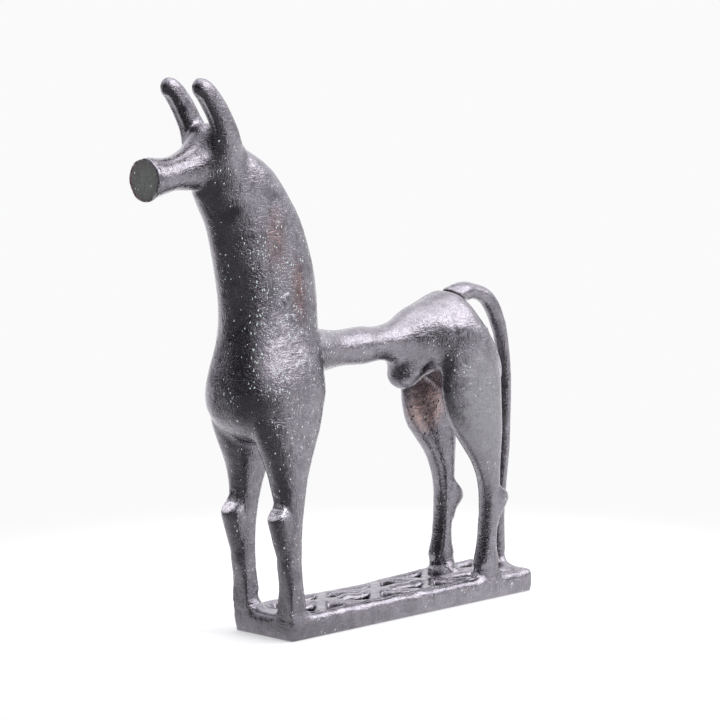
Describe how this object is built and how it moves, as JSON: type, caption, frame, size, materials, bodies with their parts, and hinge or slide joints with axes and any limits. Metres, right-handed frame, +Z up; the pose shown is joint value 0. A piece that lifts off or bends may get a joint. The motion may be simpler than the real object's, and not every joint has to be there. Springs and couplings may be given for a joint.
{
  "type": "horse statuette",
  "caption": "Cast bronze horse in the early Greek manner, flared muzzle and upright ears, its tail reaching down to a long openwork base.",
  "frame": {"origin": "centre of the base's underside", "axes": "+X towards the tail end of the base (the horse faces -X), +Y towards the horse's right side, +Z up from the base"},
  "size_m": [0.1641, 0.03, 0.1753],
  "materials": {
    "base_bronze": "dark patinated cast bronze, satin, pale green corrosion in the openings",
    "body_bronze": "dark patinated cast bronze, satin, fine green flecks",
    "head_bronze": "dark patinated cast bronze, satin",
    "hind_bronze": "dark patinated cast bronze, satin, worn copper patches",
    "tail_bronze": "dark patinated cast bronze, satin",
    "pin_bronze": "plain bronze pins, dull",
    "plug_bronze": "dark patinated bronze plugs, filed flush"
  },
  "bodies": {
    "root": {"base_plate": "base_bronze", "forequarters": "body_bronze", "head": "head_bronze", "hindquarters": "hind_bronze", "tail": "tail_bronze", "hoof_pins": "pin_bronze", "tail_root_pin": "plug_bronze", "tail_foot_pin": "pin_bronze", "neck_dowel": "pin_bronze", "barrel_dowel": "pin_bronze", "chest_core_plug": "plug_bronze", "rump_core_plug": "plug_bronze", "core_pin_plugs": "plug_bronze"}
  },
  "joints": []
}
